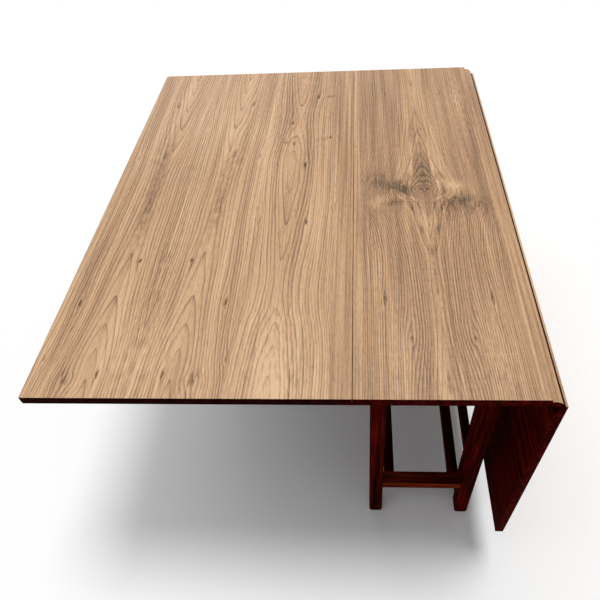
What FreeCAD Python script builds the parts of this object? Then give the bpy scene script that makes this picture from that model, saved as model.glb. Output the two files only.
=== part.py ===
"""Drop-leaf console table: centre board, two leaves on rule joints, two swinging gates.

Frame: origin on the floor under the middle of the base, X across, Y along the length, Z up.
The left leaf is raised on its open gate, the right leaf hangs and its gate is closed.
"""
import FreeCAD, Part
import math
import os

from FreeCAD import Placement, Rotation, Vector

# Top boards
TOP_LENGTH = 1150.0
CENTRE_WIDTH = 332.0
LEAF_WIDTH = 585.0
TOP_THICKNESS = 19.0
TABLE_HEIGHT = 757.0
EDGE_ROUND = 1.5

# Rule joint between the centre board and a leaf
STEP_HEIGHT = 6.0
PIN_OFFSET = 5.0
JOINT_CLEARANCE = 0.5
SEAM_GAP = 0.8
HANG_LEAN_DEGREES = 0.8

# Legs and the frame that joins them
LEG_WIDTH = 34.0
LEG_DEPTH = 43.0
LEG_INSET = 33.0
END_OVERHANG = 103.0
LEG_ARRIS = 6.0
FOOT_ROUND = 5.0
RAIL_HEIGHT = 58.0
END_RAIL_THICKNESS = 22.0
END_STRETCHER_THICKNESS = 31.0
LONG_MEMBER_THICKNESS = 25.0
LONG_MEMBER_SETBACK = 4.5
STRETCHER_HEIGHT = 28.0
STRETCHER_TOP = 170.0
POST_DEPTH = 30.0

# Mortise and tenon joints
TENON_LENGTH = 15.0
TENON_SHOULDER = 5.0
TENON_THICKNESS_SHARE = 0.36
MORTISE_CLEARANCE = 0.2

# Gates
GATE_SETOUT = 6.0
GATE_THICKNESS = 25.0
GATE_LEG_DEPTH = 28.0
GATE_ARRIS = 1.5
GATE_STILE_DEPTH = 28.0
GATE_RAIL_THICKNESS = 20.0
GATE_TOP_RAIL_HEIGHT = 45.0
GATE_BOTTOM_RAIL_HEIGHT = 28.0
GATE_BOTTOM_RAIL_TOP = 242.0
GATE_TOP_DROP = 15.0
GATE_STILE_TAIL = 12.0
GATE_END_GAP = 2.0
GATE_PIN_FROM_MIDDLE = 40.0
GATE_LEAF_GAP = 0.3
LEFT_GATE_OPEN_DEGREES = 90.0

# Rule-joint hinges, screwed on under the boards
RULE_HINGE_WIDTH = 45.0
RULE_FLAP_LENGTH = 42.0
RULE_STRAP_LENGTH = 74.0
RULE_PLATE_THICKNESS = 2.5
RULE_BARREL_RADIUS = 5.0
RULE_BARREL_CLEARANCE = 0.5
RULE_PIN_RADIUS = 2.2
RULE_GAIN_DEPTH = 1.2
RULE_GAIN_EASE = 0.6
RULE_HINGE_PLACE_SHARES = (-0.275, 0.0, 0.275)
RULE_FLAP_SCREW_SHARES = ((0.45, -0.3), (0.45, 0.3), (0.8, 0.0))
RULE_STRAP_SCREW_SHARES = ((0.5, -0.3), (0.5, 0.3), (0.82, 0.0))

# Butt hinges of the gates
GATE_HINGE_HEIGHT = 60.0
GATE_HINGE_PLATE_WIDTH = 24.0
GATE_PLATE_THICKNESS = 2.0
GATE_BARREL_RADIUS = 3.5
GATE_BARREL_CLEARANCE = 0.3
GATE_PIN_RADIUS = 1.6
GATE_HINGE_END_DISTANCE = 56.0
GATE_HINGE_SCREW_SHARES = ((0.6, -0.33), (0.6, 0.33))

# Fits that all the hinges share
KNUCKLE_GAP = 0.4
HINGE_SIDE_CLEARANCE = 1.0
PIN_FIT = 0.05
KNUCKLES = 3

# Screws
SCREW_FIT = 0.1
HINGE_SCREW_HEAD_RADIUS = 3.4
HINGE_SCREW_RADIUS = 1.7
HINGE_SCREW_LENGTH = 14.0
BLOCK_SCREW_HEAD_RADIUS = 4.0
BLOCK_SCREW_RADIUS = 2.0
BLOCK_SCREW_LENGTH = 28.0
SCREW_TIP_LENGTH = 4.0
SCREW_SLOT_WIDTH = 0.9
SCREW_SLOT_DEPTH = 0.9

# Buttons that hold the centre board to the long rails
BUTTON_LENGTH = 30.0
BUTTON_WIDTH = 28.0
BUTTON_HEIGHT = 18.0
BUTTON_TONGUE_HEIGHT = 7.0
BUTTON_TONGUE_LENGTH = 9.0
BUTTON_SLOT_DROP = 10.0
BUTTON_SLOT_CLEARANCE = 0.3
BUTTON_PLACE_SHARES = (-0.3, 0.0, 0.3)

# Stop blocks under the leaves
STOP_LENGTH = 44.0
STOP_DEPTH = 25.0
STOP_HEIGHT = 18.0
STOP_SCREW_SHARES = (-0.25, 0.25)
STOP_GAP = 0.3

# Every cutting tool runs past the faces it opens by this much
CUT_OVERRUN = 1.0

# Places worked out from the sizes above
UP = Vector(0, 0, 1)
ALONG = Vector(0, 1, 0)
UNDER_Z = TABLE_HEIGHT - TOP_THICKNESS
SEAM_X = CENTRE_WIDTH / 2
PIN_DROP = TOP_THICKNESS + RULE_BARREL_RADIUS + RULE_BARREL_CLEARANCE
PIN_X = SEAM_X + PIN_OFFSET
PIN_Z = TABLE_HEIGHT - PIN_DROP
OVOLO_RADIUS = PIN_DROP - STEP_HEIGHT
COVE_RADIUS = OVOLO_RADIUS + JOINT_CLEARANCE
LEG_OUTER_X = SEAM_X - LEG_INSET
LEG_INNER_X = LEG_OUTER_X - LEG_WIDTH
LEG_OUTER_Y = TOP_LENGTH / 2 - END_OVERHANG
LEG_INNER_Y = LEG_OUTER_Y - LEG_DEPTH
LEG_MIDDLE_Y = LEG_OUTER_Y - LEG_DEPTH / 2
LONG_OUTER_X = LEG_INNER_X - LONG_MEMBER_SETBACK
LONG_INNER_X = LONG_OUTER_X - LONG_MEMBER_THICKNESS
RAIL_BOTTOM = UNDER_Z - RAIL_HEIGHT
STRETCHER_BOTTOM = STRETCHER_TOP - STRETCHER_HEIGHT
GATE_INNER_X = LEG_INNER_X + GATE_SETOUT
GATE_OUTER_X = GATE_INNER_X + GATE_THICKNESS
GATE_PIN_X = GATE_INNER_X - GATE_PLATE_THICKNESS
GATE_PIN_Y = GATE_PIN_FROM_MIDDLE
GATE_STILE_END_Y = GATE_PIN_Y - GATE_BARREL_RADIUS - HINGE_SIDE_CLEARANCE
GATE_STILE_START_Y = GATE_STILE_END_Y - GATE_STILE_DEPTH
GATE_LEG_START_Y = -LEG_INNER_Y + GATE_END_GAP
GATE_LEG_END_Y = GATE_LEG_START_Y + GATE_LEG_DEPTH
GATE_TOP_Z = UNDER_Z - GATE_TOP_DROP
GATE_TOP_RAIL_BOTTOM = GATE_TOP_Z - GATE_TOP_RAIL_HEIGHT
GATE_BOTTOM_RAIL_BOTTOM = GATE_BOTTOM_RAIL_TOP - GATE_BOTTOM_RAIL_HEIGHT
GATE_STILE_BOTTOM = GATE_BOTTOM_RAIL_BOTTOM - GATE_STILE_TAIL
POST_OUTER_X = GATE_PIN_X - GATE_BARREL_RADIUS - GATE_BARREL_CLEARANCE
POST_START_Y = GATE_PIN_Y + HINGE_SIDE_CLEARANCE
POST_END_Y = POST_START_Y + POST_DEPTH
RULE_HINGE_PLACES = [share * TOP_LENGTH for share in RULE_HINGE_PLACE_SHARES]
GATE_HINGE_PLACES = (GATE_STILE_BOTTOM + GATE_HINGE_END_DISTANCE, RAIL_BOTTOM - GATE_HINGE_END_DISTANCE)


def box(x_span, y_span, z_span):
    """Rectangular solid between the ends of three spans, each given in either order."""
    spans = [sorted(span) for span in (x_span, y_span, z_span)]
    sizes = [high - low for low, high in spans]
    return Part.makeBox(*sizes, Vector(*[low for low, high in spans]))


def arc(centre, radius, start, end):
    """Edge of a circle in the XZ plane, from one angle to another, in radians."""
    angles = (start, (start + end) / 2, end)
    points = [centre + Vector(radius * math.cos(a), 0, radius * math.sin(a)) for a in angles]
    return Part.Arc(*points).toShape()


def prism(edges, length):
    """Solid drawn along Y, centred on it, from a closed row of edges in the XZ plane."""
    face = Part.Face(Part.Wire(edges))
    face.translate(ALONG * (-length / 2))
    return face.extrude(ALONG * length)


def line(start, end):
    """Straight edge."""
    return Part.makeLine(start, end)


def half_turn(shape):
    """The same shape on the opposite side of the table: turned half round its middle."""
    turned = shape.copy()
    turned.rotate(Vector(), UP, 180)
    return turned


def joint_angle(rise, radius):
    """Angle at which a circle about the pin reaches a height above the pin."""
    return math.asin(rise / radius)


def side_angle(run, radius):
    """Angle, past the top, at which a circle about the pin reaches a run inwards of the pin."""
    return math.acos(-run / radius)


def centre_board():
    """Board with an ovolo on both long edges, below a short square step."""
    low = joint_angle(UNDER_Z - PIN_Z, OVOLO_RADIUS)
    high = side_angle(PIN_OFFSET, OVOLO_RADIUS)
    right_pin = Vector(PIN_X, 0, PIN_Z)
    left_pin = Vector(-PIN_X, 0, PIN_Z)
    right_ovolo = arc(right_pin, OVOLO_RADIUS, low, high)
    left_ovolo = arc(left_pin, OVOLO_RADIUS, math.pi - high, math.pi - low)
    right_top = Vector(SEAM_X, 0, TABLE_HEIGHT)
    left_top = Vector(-SEAM_X, 0, TABLE_HEIGHT)
    edges = [
        right_ovolo,
        line(right_ovolo.Vertexes[-1].Point, right_top),
        line(right_top, left_top),
        line(left_top, left_ovolo.Vertexes[0].Point),
        left_ovolo,
        line(left_ovolo.Vertexes[-1].Point, right_ovolo.Vertexes[0].Point),
    ]
    board = prism(edges, TOP_LENGTH)
    for place in RULE_HINGE_PLACES:
        gain = strap_gain(place)
        board = board.cut([gain, half_turn(gain)])
    return board


def strap_gain(place):
    """Shallow recess under the ovolo that a hinge strap folds up into."""
    half = RULE_HINGE_WIDTH / 2 + HINGE_SIDE_CLEARANCE
    x_span = (PIN_X - RULE_GAIN_EASE, PIN_X + COVE_RADIUS)
    return box(x_span, (place - half, place + half), (UNDER_Z - CUT_OVERRUN, UNDER_Z + RULE_GAIN_DEPTH))


def raised_leaf():
    """Right-hand leaf in its raised place, with a cove round the hinge pin."""
    lip_x = SEAM_X + SEAM_GAP
    outer_x = SEAM_X + LEAF_WIDTH
    low = joint_angle(UNDER_Z - PIN_Z, COVE_RADIUS)
    high = side_angle(PIN_X - lip_x, COVE_RADIUS)
    cove = arc(Vector(PIN_X, 0, PIN_Z), COVE_RADIUS, low, high)
    round_x = outer_x - EDGE_ROUND
    upper = arc(Vector(round_x, 0, TABLE_HEIGHT - EDGE_ROUND), EDGE_ROUND, 0, math.pi / 2)
    lower = arc(Vector(round_x, 0, UNDER_Z + EDGE_ROUND), EDGE_ROUND, -math.pi / 2, 0)
    lip = Vector(lip_x, 0, TABLE_HEIGHT)
    edges = [
        cove,
        line(cove.Vertexes[-1].Point, lip),
        line(lip, upper.Vertexes[-1].Point),
        upper,
        line(upper.Vertexes[0].Point, lower.Vertexes[-1].Point),
        lower,
        line(lower.Vertexes[0].Point, cove.Vertexes[0].Point),
    ]
    return prism(edges, TOP_LENGTH)


def screw(head_radius, radius, length, place, direction, grow=0):
    """Countersunk wood screw, or with grow the hole that it fits; place is the middle of its head."""
    sink = head_radius - radius
    head = Part.makeCone(head_radius + grow, radius + grow, sink)
    shank = Part.makeCylinder(radius + grow, length - SCREW_TIP_LENGTH)
    tip = Part.makeCone(radius + grow, 0, SCREW_TIP_LENGTH + grow, UP * (length - SCREW_TIP_LENGTH))
    solid = head.fuse([shank, tip]).removeSplitter()
    if grow == 0:
        half = SCREW_SLOT_WIDTH / 2
        slot = box((-half, half), (-head_radius, head_radius), (-CUT_OVERRUN, SCREW_SLOT_DEPTH))
        solid = solid.cut(slot)
    solid.Placement = Placement(place, Rotation(UP, direction))
    return solid


def hinge_screw(place, direction, grow=0):
    """Screw of a hinge plate."""
    sizes = (HINGE_SCREW_HEAD_RADIUS, HINGE_SCREW_RADIUS, HINGE_SCREW_LENGTH)
    return screw(*sizes, place, direction, grow)


def block_screw(place, direction, grow=0):
    """Screw of a wooden block."""
    sizes = (BLOCK_SCREW_HEAD_RADIUS, BLOCK_SCREW_RADIUS, BLOCK_SCREW_LENGTH)
    return screw(*sizes, place, direction, grow)


def with_holes(solid, fastener, places, direction):
    """The solid with a hole for each screw."""
    return solid.cut([fastener(place, direction, SCREW_FIT) for place in places])


def knuckle_spans(width):
    """Ends of the knuckles along a hinge pin, measured from the middle of the hinge."""
    step = width / KNUCKLES
    return [(-width / 2 + step * k, -width / 2 + step * (k + 1)) for k in range(KNUCKLES)]


def rule_plate(place, reach, own_knuckles):
    """Plate of a rule-joint hinge under the boards, reaching from the pin, with its own knuckles."""
    half = RULE_HINGE_WIDTH / 2
    z_span = (UNDER_Z - RULE_PLATE_THICKNESS, UNDER_Z)
    plate = box((PIN_X, PIN_X + reach), (place - half, place + half), z_span)
    keep_out = RULE_BARREL_RADIUS + KNUCKLE_GAP
    for number, (start, end) in enumerate(knuckle_spans(RULE_HINGE_WIDTH)):
        foot = Vector(PIN_X, place + start, PIN_Z)
        if number in own_knuckles:
            plate = plate.fuse(Part.makeCylinder(RULE_BARREL_RADIUS, end - start, foot, ALONG))
        else:
            room = (place + start - KNUCKLE_GAP / 2, place + end + KNUCKLE_GAP / 2)
            tall = (PIN_Z - keep_out, UNDER_Z + CUT_OVERRUN)
            plate = plate.cut(box((PIN_X - keep_out, PIN_X + keep_out), room, tall))
    bore = Part.makeCylinder(
        RULE_PIN_RADIUS + PIN_FIT, RULE_HINGE_WIDTH, Vector(PIN_X, place - half, PIN_Z), ALONG
    )
    return plate.cut(bore).removeSplitter()


def rule_screw_places(place, reach, shares):
    """Middles of the screw heads of one plate of a rule-joint hinge."""
    middle = Vector(PIN_X, place, UNDER_Z - RULE_PLATE_THICKNESS)
    return [middle + Vector(reach * along, RULE_HINGE_WIDTH * across, 0) for along, across in shares]


def flap_screw_places():
    """Screws of the flaps under the right-hand edge of the centre board."""
    shares = RULE_FLAP_SCREW_SHARES
    return sum([rule_screw_places(place, -RULE_FLAP_LENGTH, shares) for place in RULE_HINGE_PLACES], [])


def strap_screw_places():
    """Screws of the straps under the raised right-hand leaf."""
    shares = RULE_STRAP_SCREW_SHARES
    return sum([rule_screw_places(place, RULE_STRAP_LENGTH, shares) for place in RULE_HINGE_PLACES], [])


def rule_flaps():
    """Short flaps of the right-hand rule-joint hinges, with the outer knuckles."""
    flaps = [rule_plate(place, -RULE_FLAP_LENGTH, (0, KNUCKLES - 1)) for place in RULE_HINGE_PLACES]
    return [with_holes(flap, hinge_screw, flap_screw_places(), UP) for flap in flaps]


def rule_straps():
    """Long straps of the right-hand rule-joint hinges, with the middle knuckle, leaf raised."""
    middle = range(1, KNUCKLES - 1)
    straps = [rule_plate(place, RULE_STRAP_LENGTH, middle) for place in RULE_HINGE_PLACES]
    return [with_holes(strap, hinge_screw, strap_screw_places(), UP) for strap in straps]


def rule_pins():
    """Pins of the right-hand rule-joint hinges."""
    feet = [Vector(PIN_X, place - RULE_HINGE_WIDTH / 2, PIN_Z) for place in RULE_HINGE_PLACES]
    return [Part.makeCylinder(RULE_PIN_RADIUS, RULE_HINGE_WIDTH, foot, ALONG) for foot in feet]


def stop_block():
    """Block under the raised right-hand leaf that stops the gate's free leg when it is open."""
    middle_x = stop_middle_x()
    start_y = stop_start_y()
    x_span = (middle_x - STOP_LENGTH / 2, middle_x + STOP_LENGTH / 2)
    return box(x_span, (start_y, start_y + STOP_DEPTH), (UNDER_Z - STOP_HEIGHT, UNDER_Z))


def stop_middle_x():
    """Place across the table of the open gate's free leg."""
    return GATE_PIN_X + GATE_PIN_Y - (GATE_LEG_START_Y + GATE_LEG_END_Y) / 2


def stop_start_y():
    """Face of the stop that the open gate's leg meets."""
    return GATE_PIN_Y + GATE_OUTER_X - GATE_PIN_X + STOP_GAP


def stop_screw_places():
    """Middles of the heads of the stop block's screws."""
    middle = Vector(stop_middle_x(), stop_start_y() + STOP_DEPTH / 2, UNDER_Z - STOP_HEIGHT)
    return [middle + Vector(share * STOP_LENGTH, 0, 0) for share in STOP_SCREW_SHARES]


def is_upright(edge):
    """Whether an edge stands upright."""
    return edge.BoundBox.ZLength > edge.BoundBox.XLength + edge.BoundBox.YLength


def eased(solid, radius):
    """The upright solid with its long arrises rounded."""
    return solid.makeFillet(radius, [edge for edge in solid.Edges if is_upright(edge)])


def footed(solid, radius):
    """The upright solid with its arrises rounded and the edges of its foot, on the floor, rounded over."""
    rounded = eased(solid, radius)
    foot = [edge for edge in rounded.Edges if edge.BoundBox.ZMax < FOOT_ROUND / 2]
    return rounded.makeFillet(FOOT_ROUND, foot)


def tenon_span(low, high):
    """Span of a tenon across the height of its member, between the shoulders."""
    return (low + TENON_SHOULDER, high - TENON_SHOULDER)


def thin_span(low, high):
    """Span of a tenon across the thickness of its member."""
    middle = (low + high) / 2
    half = (high - low) * TENON_THICKNESS_SHARE / 2
    return (middle - half, middle + half)


def grown(span, amount):
    """A span made longer at both ends."""
    low, high = sorted(span)
    return (low - amount, high + amount)


def tenon_pair(axis, ends, thickness, height, grow=0):
    """Tenons past both ends of a bar that runs along an axis, or with grow the mortises that take them."""
    tongues = []
    for end, outward in zip(ends, (-1, 1)):
        run = grown((end, end + outward * TENON_LENGTH), grow)
        spans = {
            "x": (run, grown(thickness, grow), grown(height, grow)),
            "y": (grown(thickness, grow), run, grown(height, grow)),
            "z": (grown(thickness, grow), grown(height, grow), run),
        }
        tongues.append(box(*spans[axis]))
    return tongues


class Bar:
    """Straight rail, stretcher or post with a tenon at both ends."""

    def __init__(self, axis, ends, thickness, height):
        self.axis = axis
        self.ends = ends
        self.thickness = thickness
        self.height = height

    def tongues(self, grow=0):
        """Both tenons, or with grow their mortises."""
        return tenon_pair(self.axis, self.ends, thin_span(*self.thickness), tenon_span(*self.height), grow)

    def solid(self):
        """The bar between its shoulders, with both tenons."""
        spans = {
            "x": (self.ends, self.thickness, self.height),
            "y": (self.thickness, self.ends, self.height),
            "z": (self.thickness, self.height, self.ends),
        }
        return box(*spans[self.axis]).fuse(self.tongues()).removeSplitter()

    def mortises(self):
        """Cutting tools for the pieces that take the tenons."""
        return self.tongues(MORTISE_CLEARANCE)


def about(middle, size):
    """Span of a size on both sides of its middle."""
    return (middle - size / 2, middle + size / 2)


LEG_INNER_FACES = (-LEG_INNER_X, LEG_INNER_X)
NEAR_END_RAIL = Bar("x", LEG_INNER_FACES, about(-LEG_MIDDLE_Y, END_RAIL_THICKNESS), (RAIL_BOTTOM, UNDER_Z))
NEAR_END_STRETCHER = Bar(
    "x", LEG_INNER_FACES, about(-LEG_MIDDLE_Y, END_STRETCHER_THICKNESS), (STRETCHER_BOTTOM, STRETCHER_TOP)
)
RAIL_END_Y = LEG_MIDDLE_Y - END_RAIL_THICKNESS / 2
STRETCHER_END_Y = LEG_MIDDLE_Y - END_STRETCHER_THICKNESS / 2
RIGHT_LONG_RAIL = Bar("y", (-RAIL_END_Y, RAIL_END_Y), (LONG_INNER_X, LONG_OUTER_X), (RAIL_BOTTOM, UNDER_Z))
RIGHT_LONG_STRETCHER = Bar(
    "y", (-STRETCHER_END_Y, STRETCHER_END_Y), (LONG_INNER_X, LONG_OUTER_X), (STRETCHER_BOTTOM, STRETCHER_TOP)
)
RIGHT_POST = Bar("z", (STRETCHER_TOP, RAIL_BOTTOM), (LONG_INNER_X, POST_OUTER_X), (POST_START_Y, POST_END_Y))
GATE_RAIL_ENDS = (GATE_LEG_END_Y, GATE_STILE_START_Y)
GATE_RAIL_SPAN = about((GATE_INNER_X + GATE_OUTER_X) / 2, GATE_RAIL_THICKNESS)
GATE_TOP_RAIL = Bar("y", GATE_RAIL_ENDS, GATE_RAIL_SPAN, (GATE_TOP_RAIL_BOTTOM, GATE_TOP_Z))
GATE_BOTTOM_RAIL = Bar("y", GATE_RAIL_ENDS, GATE_RAIL_SPAN, (GATE_BOTTOM_RAIL_BOTTOM, GATE_BOTTOM_RAIL_TOP))


def near_right_leg():
    """Straight leg with mortises for the end rail and the end stretcher."""
    blank = box((LEG_INNER_X, LEG_OUTER_X), (-LEG_OUTER_Y, -LEG_INNER_Y), (0, UNDER_Z))
    return footed(blank, LEG_ARRIS).cut(NEAR_END_RAIL.mortises() + NEAR_END_STRETCHER.mortises())


def near_left_leg():
    """The near right leg, mirrored."""
    return near_right_leg().mirror(Vector(), Vector(1, 0, 0))


def near_end_rail():
    """Upper rail of the near end, with mortises for both long rails."""
    tools = RIGHT_LONG_RAIL.mortises()
    return NEAR_END_RAIL.solid().cut(tools + [half_turn(tool) for tool in tools])


def near_end_stretcher():
    """Low stretcher of the near end, with mortises for both long stretchers."""
    tools = RIGHT_LONG_STRETCHER.mortises()
    return NEAR_END_STRETCHER.solid().cut(tools + [half_turn(tool) for tool in tools])


def button_middles():
    """Places of the buttons along the right long rail."""
    return [share * RAIL_END_Y * 2 for share in BUTTON_PLACE_SHARES]


def tongue_z_span():
    """Height span of a button's tongue."""
    return (UNDER_Z - BUTTON_SLOT_DROP - BUTTON_TONGUE_HEIGHT, UNDER_Z - BUTTON_SLOT_DROP)


def right_long_rail():
    """Upper long rail with mortises for the hinge post and slots for the buttons."""
    slots = []
    for middle in button_middles():
        y_span = grown(about(middle, BUTTON_LENGTH), BUTTON_SLOT_CLEARANCE)
        depth = BUTTON_TONGUE_LENGTH + BUTTON_SLOT_CLEARANCE
        x_span = (LONG_INNER_X - CUT_OVERRUN, LONG_INNER_X + depth)
        slots.append(box(x_span, y_span, grown(tongue_z_span(), BUTTON_SLOT_CLEARANCE)))
    return RIGHT_LONG_RAIL.solid().cut(slots + RIGHT_POST.mortises())


def buttons():
    """Wooden buttons beside the right long rail, each with its tongue in the rail."""
    solids = []
    for middle in button_middles():
        y_span = about(middle, BUTTON_LENGTH)
        body = box((LONG_INNER_X - BUTTON_WIDTH, LONG_INNER_X), y_span, (UNDER_Z - BUTTON_HEIGHT, UNDER_Z))
        tongue = box((LONG_INNER_X, LONG_INNER_X + BUTTON_TONGUE_LENGTH), y_span, tongue_z_span())
        solid = body.fuse(tongue).removeSplitter()
        solids.append(with_holes(solid, block_screw, button_screw_places(), UP))
    return solids


def button_screw_places():
    """Middles of the heads of the screws in the right-hand buttons."""
    x_middle = LONG_INNER_X - BUTTON_WIDTH / 2
    return [Vector(x_middle, middle, UNDER_Z - BUTTON_HEIGHT) for middle in button_middles()]


def right_long_stretcher():
    """Low long stretcher with a mortise for the hinge post."""
    return RIGHT_LONG_STRETCHER.solid().cut(RIGHT_POST.mortises())


def right_hinge_post():
    """Fixed post that carries the right gate's hinges."""
    return with_holes(RIGHT_POST.solid(), hinge_screw, fixed_plate_screws(), Vector(-1, 0, 0))


def gate_leg():
    """Free leg of the closed right gate, from the floor to just under the leaf."""
    x_span = (GATE_INNER_X, GATE_OUTER_X)
    blank = box(x_span, (GATE_LEG_START_Y, GATE_LEG_END_Y), (0, UNDER_Z - GATE_LEAF_GAP))
    return footed(blank, GATE_ARRIS).cut(GATE_TOP_RAIL.mortises() + GATE_BOTTOM_RAIL.mortises())


def gate_stile():
    """Hinge stile of the closed right gate."""
    x_span = (GATE_INNER_X, GATE_OUTER_X)
    blank = box(x_span, (GATE_STILE_START_Y, GATE_STILE_END_Y), (GATE_STILE_BOTTOM, GATE_TOP_Z))
    stile = eased(blank, GATE_ARRIS).cut(GATE_TOP_RAIL.mortises() + GATE_BOTTOM_RAIL.mortises())
    return with_holes(stile, hinge_screw, moving_plate_screws(), Vector(1, 0, 0))


def gate_plate(place, x_start, outward, own_knuckles):
    """Plate of a gate hinge: its thickness along X, its width along Y on one side of the pin."""
    half = GATE_HINGE_HEIGHT / 2
    x_span = (x_start, x_start + GATE_PLATE_THICKNESS)
    y_span = (GATE_PIN_Y, GATE_PIN_Y + outward * GATE_HINGE_PLATE_WIDTH)
    plate = box(x_span, y_span, (place - half, place + half))
    keep_out = GATE_BARREL_RADIUS + KNUCKLE_GAP
    for number, (start, end) in enumerate(knuckle_spans(GATE_HINGE_HEIGHT)):
        if number in own_knuckles:
            foot = Vector(GATE_PIN_X, GATE_PIN_Y, place + start)
            plate = plate.fuse(Part.makeCylinder(GATE_BARREL_RADIUS, end - start, foot, UP))
        else:
            room = (place + start - KNUCKLE_GAP / 2, place + end + KNUCKLE_GAP / 2)
            plate = plate.cut(box(about(GATE_PIN_X, keep_out * 2), about(GATE_PIN_Y, keep_out * 2), room))
    bore = Part.makeCylinder(
        GATE_PIN_RADIUS + PIN_FIT, GATE_HINGE_HEIGHT, Vector(GATE_PIN_X, GATE_PIN_Y, place - half), UP
    )
    return plate.cut(bore).removeSplitter()


def gate_screw_places(x_face, outward):
    """Middles of the screw heads of the plates on one side of the gate's pin."""
    places = []
    for height in GATE_HINGE_PLACES:
        for across, along in GATE_HINGE_SCREW_SHARES:
            y_place = GATE_PIN_Y + outward * GATE_HINGE_PLATE_WIDTH * across
            places.append(Vector(x_face, y_place, height + GATE_HINGE_HEIGHT * along))
    return places


def fixed_plate_screws():
    """Screws of the plates on the right hinge post."""
    return gate_screw_places(POST_OUTER_X + GATE_PLATE_THICKNESS, 1)


def moving_plate_screws():
    """Screws of the plates on the closed right gate."""
    return gate_screw_places(GATE_INNER_X - GATE_PLATE_THICKNESS, -1)


def fixed_plates():
    """Plates of the gate hinges on the right hinge post, with the outer knuckles."""
    plates = [gate_plate(place, POST_OUTER_X, 1, (0, KNUCKLES - 1)) for place in GATE_HINGE_PLACES]
    return [with_holes(plate, hinge_screw, fixed_plate_screws(), Vector(-1, 0, 0)) for plate in plates]


def moving_plates():
    """Plates of the gate hinges on the closed right gate, with the middle knuckle."""
    x_start = GATE_INNER_X - GATE_PLATE_THICKNESS
    plates = [gate_plate(place, x_start, -1, range(1, KNUCKLES - 1)) for place in GATE_HINGE_PLACES]
    return [with_holes(plate, hinge_screw, moving_plate_screws(), Vector(1, 0, 0)) for plate in plates]


def gate_pins():
    """Pins of the right gate's hinges."""
    half = GATE_HINGE_HEIGHT / 2
    feet = [Vector(GATE_PIN_X, GATE_PIN_Y, place - half) for place in GATE_HINGE_PLACES]
    return [Part.makeCylinder(GATE_PIN_RADIUS, GATE_HINGE_HEIGHT, foot, UP) for foot in feet]


def as_group(solids):
    """One solid, or a compound of several."""
    if len(solids) == 1:
        return solids[0]
    return Part.makeCompound(solids)


def on_right_leaf(shape):
    """A piece of the raised right leaf, turned down with it about the hinge pin."""
    hung = shape.copy()
    hung.rotate(Vector(PIN_X, 0, PIN_Z), ALONG, 90 + HANG_LEAN_DEGREES)
    return hung


def on_left_gate(shape):
    """A piece of the closed right gate, turned to the left side and opened."""
    opened = half_turn(shape)
    opened.rotate(Vector(-GATE_PIN_X, -GATE_PIN_Y, 0), UP, LEFT_GATE_OPEN_DEGREES)
    return opened


def export(node, solids):
    """Write one node."""
    as_group(solids).exportStep("parts/" + node + ".step")


def screws(fastener, places, direction):
    """One screw at each place."""
    return [fastener(place, direction) for place in places]


def export_top():
    """Centre board, leaves, and what is fixed under them."""
    board_holes = [hinge_screw(place, UP, SCREW_FIT) for place in flap_screw_places()]
    board_holes += [block_screw(place, UP, SCREW_FIT) for place in button_screw_places()]
    export("centre_board", [centre_board().cut(board_holes + [half_turn(hole) for hole in board_holes])])

    leaf = with_holes(raised_leaf(), hinge_screw, strap_screw_places(), UP)
    leaf = with_holes(leaf, block_screw, stop_screw_places(), UP)
    stop = with_holes(stop_block(), block_screw, stop_screw_places(), UP)
    leaf_nodes = {
        "leaf": [leaf],
        "rule_hinge_straps": rule_straps(),
        "strap_screws": screws(hinge_screw, strap_screw_places(), UP),
        "gate_stop": [stop],
        "gate_stop_screws": screws(block_screw, stop_screw_places(), UP),
    }
    for name, solids in leaf_nodes.items():
        export("right_" + name, [on_right_leaf(solid) for solid in solids])
        export("left_" + name, [half_turn(solid) for solid in solids])

    frame_nodes = {
        "rule_hinge_flaps": rule_flaps(),
        "rule_hinge_pins": rule_pins(),
        "flap_screws": screws(hinge_screw, flap_screw_places(), UP),
        "top_buttons": buttons(),
        "button_screws": screws(block_screw, button_screw_places(), UP),
    }
    export_both_sides(frame_nodes)


def export_both_sides(nodes):
    """Pieces of the frame that stand on both sides of the table."""
    for name, solids in nodes.items():
        export("right_" + name, solids)
        export("left_" + name, [half_turn(solid) for solid in solids])


def export_frame():
    """Legs, rails, stretchers and hinge posts."""
    export("near_right_leg", [near_right_leg()])
    export("far_left_leg", [half_turn(near_right_leg())])
    export("near_left_leg", [near_left_leg()])
    export("far_right_leg", [half_turn(near_left_leg())])
    export("near_end_rail", [near_end_rail()])
    export("far_end_rail", [half_turn(near_end_rail())])
    export("near_end_stretcher", [near_end_stretcher()])
    export("far_end_stretcher", [half_turn(near_end_stretcher())])
    frame_nodes = {
        "long_rail": [right_long_rail()],
        "long_stretcher": [right_long_stretcher()],
        "hinge_post": [right_hinge_post()],
        "gate_hinge_fixed_plates": fixed_plates(),
        "gate_hinge_pins": gate_pins(),
        "post_screws": screws(hinge_screw, fixed_plate_screws(), Vector(-1, 0, 0)),
    }
    export_both_sides(frame_nodes)


def export_gates():
    """The right gate closed, and the left gate open."""
    gate_nodes = {
        "gate_leg": [gate_leg()],
        "gate_stile": [gate_stile()],
        "gate_top_rail": [GATE_TOP_RAIL.solid()],
        "gate_bottom_rail": [GATE_BOTTOM_RAIL.solid()],
        "gate_hinge_moving_plates": moving_plates(),
        "stile_screws": screws(hinge_screw, moving_plate_screws(), Vector(1, 0, 0)),
    }
    for name, solids in gate_nodes.items():
        export("right_" + name, solids)
        export("left_" + name, [on_left_gate(solid) for solid in solids])


os.makedirs("parts", exist_ok=True)
export_top()
export_frame()
export_gates()
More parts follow.
